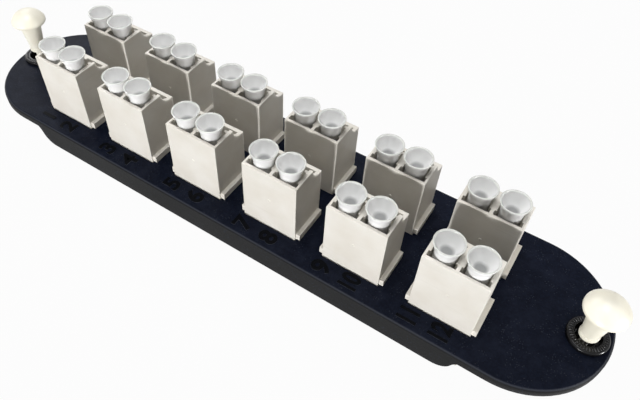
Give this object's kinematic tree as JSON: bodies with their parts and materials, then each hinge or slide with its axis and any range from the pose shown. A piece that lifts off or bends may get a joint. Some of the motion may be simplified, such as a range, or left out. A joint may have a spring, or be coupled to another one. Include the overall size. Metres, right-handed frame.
{
  "type": "fibre adapter panel",
  "caption": "Snap-in panel with full-round ends carrying two rows of duplex fibre adapters with cup-shaped dust caps and a push-pull plunger latch at each end.",
  "frame": {"origin": "centre of the bounding box's bottom, in the plane of the adapters' rear mouths", "axes": "+X along the panel towards the higher port numbers, +Y from the front row to the rear row, +Z out of the panel's front face"},
  "size_m": [0.1558, 0.035, 0.0313],
  "materials": {
    "panel_black": "matt, finely textured moulding",
    "housing_beige": "satin moulding",
    "cap_clear": "translucent natural soft plastic",
    "sleeve_white": "polished ceramic",
    "clip_steel": "bright spring steel",
    "grommet_black": "glossy moulding",
    "plunger_cream": "satin moulding"
  },
  "bodies": {
    "panel_assembly": {"panel": "panel_black", "front_housing_01": "housing_beige", "front_housing_02": "housing_beige", "front_housing_03": "housing_beige", "front_housing_04": "housing_beige", "front_housing_05": "housing_beige", "front_housing_06": "housing_beige", "front_housing_07": "housing_beige", "front_housing_08": "housing_beige", "front_housing_09": "housing_beige", "front_housing_10": "housing_beige", "front_housing_11": "housing_beige", "front_housing_12": "housing_beige", "rear_housing_01": "housing_beige", "rear_housing_02": "housing_beige", "rear_housing_03": "housing_beige", "rear_housing_04": "housing_beige", "rear_housing_05": "housing_beige", "rear_housing_06": "housing_beige", "rear_housing_07": "housing_beige", "rear_housing_08": "housing_beige", "rear_housing_09": "housing_beige", "rear_housing_10": "housing_beige", "rear_housing_11": "housing_beige", "rear_housing_12": "housing_beige", "alignment_sleeves": "sleeve_white", "retaining_clips": "clip_steel", "grommet_left": "grommet_black", "grommet_right": "grommet_black"},
    "cap_01": {"dust_cap_01": "cap_clear"},
    "cap_02": {"dust_cap_02": "cap_clear"},
    "cap_03": {"dust_cap_03": "cap_clear"},
    "cap_04": {"dust_cap_04": "cap_clear"},
    "cap_05": {"dust_cap_05": "cap_clear"},
    "cap_06": {"dust_cap_06": "cap_clear"},
    "cap_07": {"dust_cap_07": "cap_clear"},
    "cap_08": {"dust_cap_08": "cap_clear"},
    "cap_09": {"dust_cap_09": "cap_clear"},
    "cap_10": {"dust_cap_10": "cap_clear"},
    "cap_11": {"dust_cap_11": "cap_clear"},
    "cap_12": {"dust_cap_12": "cap_clear"},
    "cap_13": {"dust_cap_13": "cap_clear"},
    "cap_14": {"dust_cap_14": "cap_clear"},
    "cap_15": {"dust_cap_15": "cap_clear"},
    "cap_16": {"dust_cap_16": "cap_clear"},
    "cap_17": {"dust_cap_17": "cap_clear"},
    "cap_18": {"dust_cap_18": "cap_clear"},
    "cap_19": {"dust_cap_19": "cap_clear"},
    "cap_20": {"dust_cap_20": "cap_clear"},
    "cap_21": {"dust_cap_21": "cap_clear"},
    "cap_22": {"dust_cap_22": "cap_clear"},
    "cap_23": {"dust_cap_23": "cap_clear"},
    "cap_24": {"dust_cap_24": "cap_clear"},
    "latch_left": {"plunger_left": "plunger_cream"},
    "latch_right": {"plunger_right": "plunger_cream"}
  },
  "joints": [
    {"name": "dust_cap_01_pull", "type": "slide", "parent": "panel_assembly", "child": "cap_01", "axis": [0, 0, 1], "range_m": [0, 0.012]},
    {"name": "dust_cap_02_pull", "type": "slide", "parent": "panel_assembly", "child": "cap_02", "axis": [0, 0, 1], "range_m": [0, 0.012]},
    {"name": "dust_cap_03_pull", "type": "slide", "parent": "panel_assembly", "child": "cap_03", "axis": [0, 0, 1], "range_m": [0, 0.012]},
    {"name": "dust_cap_04_pull", "type": "slide", "parent": "panel_assembly", "child": "cap_04", "axis": [0, 0, 1], "range_m": [0, 0.012]},
    {"name": "dust_cap_05_pull", "type": "slide", "parent": "panel_assembly", "child": "cap_05", "axis": [0, 0, 1], "range_m": [0, 0.012]},
    {"name": "dust_cap_06_pull", "type": "slide", "parent": "panel_assembly", "child": "cap_06", "axis": [0, 0, 1], "range_m": [0, 0.012]},
    {"name": "dust_cap_07_pull", "type": "slide", "parent": "panel_assembly", "child": "cap_07", "axis": [0, 0, 1], "range_m": [0, 0.012]},
    {"name": "dust_cap_08_pull", "type": "slide", "parent": "panel_assembly", "child": "cap_08", "axis": [0, 0, 1], "range_m": [0, 0.012]},
    {"name": "dust_cap_09_pull", "type": "slide", "parent": "panel_assembly", "child": "cap_09", "axis": [0, 0, 1], "range_m": [0, 0.012]},
    {"name": "dust_cap_10_pull", "type": "slide", "parent": "panel_assembly", "child": "cap_10", "axis": [0, 0, 1], "range_m": [0, 0.012]},
    {"name": "dust_cap_11_pull", "type": "slide", "parent": "panel_assembly", "child": "cap_11", "axis": [0, 0, 1], "range_m": [0, 0.012]},
    {"name": "dust_cap_12_pull", "type": "slide", "parent": "panel_assembly", "child": "cap_12", "axis": [0, 0, 1], "range_m": [0, 0.012]},
    {"name": "dust_cap_13_pull", "type": "slide", "parent": "panel_assembly", "child": "cap_13", "axis": [0, 0, 1], "range_m": [0, 0.012]},
    {"name": "dust_cap_14_pull", "type": "slide", "parent": "panel_assembly", "child": "cap_14", "axis": [0, 0, 1], "range_m": [0, 0.012]},
    {"name": "dust_cap_15_pull", "type": "slide", "parent": "panel_assembly", "child": "cap_15", "axis": [0, 0, 1], "range_m": [0, 0.012]},
    {"name": "dust_cap_16_pull", "type": "slide", "parent": "panel_assembly", "child": "cap_16", "axis": [0, 0, 1], "range_m": [0, 0.012]},
    {"name": "dust_cap_17_pull", "type": "slide", "parent": "panel_assembly", "child": "cap_17", "axis": [0, 0, 1], "range_m": [0, 0.012]},
    {"name": "dust_cap_18_pull", "type": "slide", "parent": "panel_assembly", "child": "cap_18", "axis": [0, 0, 1], "range_m": [0, 0.012]},
    {"name": "dust_cap_19_pull", "type": "slide", "parent": "panel_assembly", "child": "cap_19", "axis": [0, 0, 1], "range_m": [0, 0.012]},
    {"name": "dust_cap_20_pull", "type": "slide", "parent": "panel_assembly", "child": "cap_20", "axis": [0, 0, 1], "range_m": [0, 0.012]},
    {"name": "dust_cap_21_pull", "type": "slide", "parent": "panel_assembly", "child": "cap_21", "axis": [0, 0, 1], "range_m": [0, 0.012]},
    {"name": "dust_cap_22_pull", "type": "slide", "parent": "panel_assembly", "child": "cap_22", "axis": [0, 0, 1], "range_m": [0, 0.012]},
    {"name": "dust_cap_23_pull", "type": "slide", "parent": "panel_assembly", "child": "cap_23", "axis": [0, 0, 1], "range_m": [0, 0.012]},
    {"name": "dust_cap_24_pull", "type": "slide", "parent": "panel_assembly", "child": "cap_24", "axis": [0, 0, 1], "range_m": [0, 0.012]},
    {"name": "plunger_left_push", "type": "slide", "parent": "panel_assembly", "child": "latch_left", "axis": [0, 0, -1], "range_m": [0, 0.005]},
    {"name": "plunger_right_push", "type": "slide", "parent": "panel_assembly", "child": "latch_right", "axis": [0, 0, -1], "range_m": [0, 0.0033]}
  ]
}
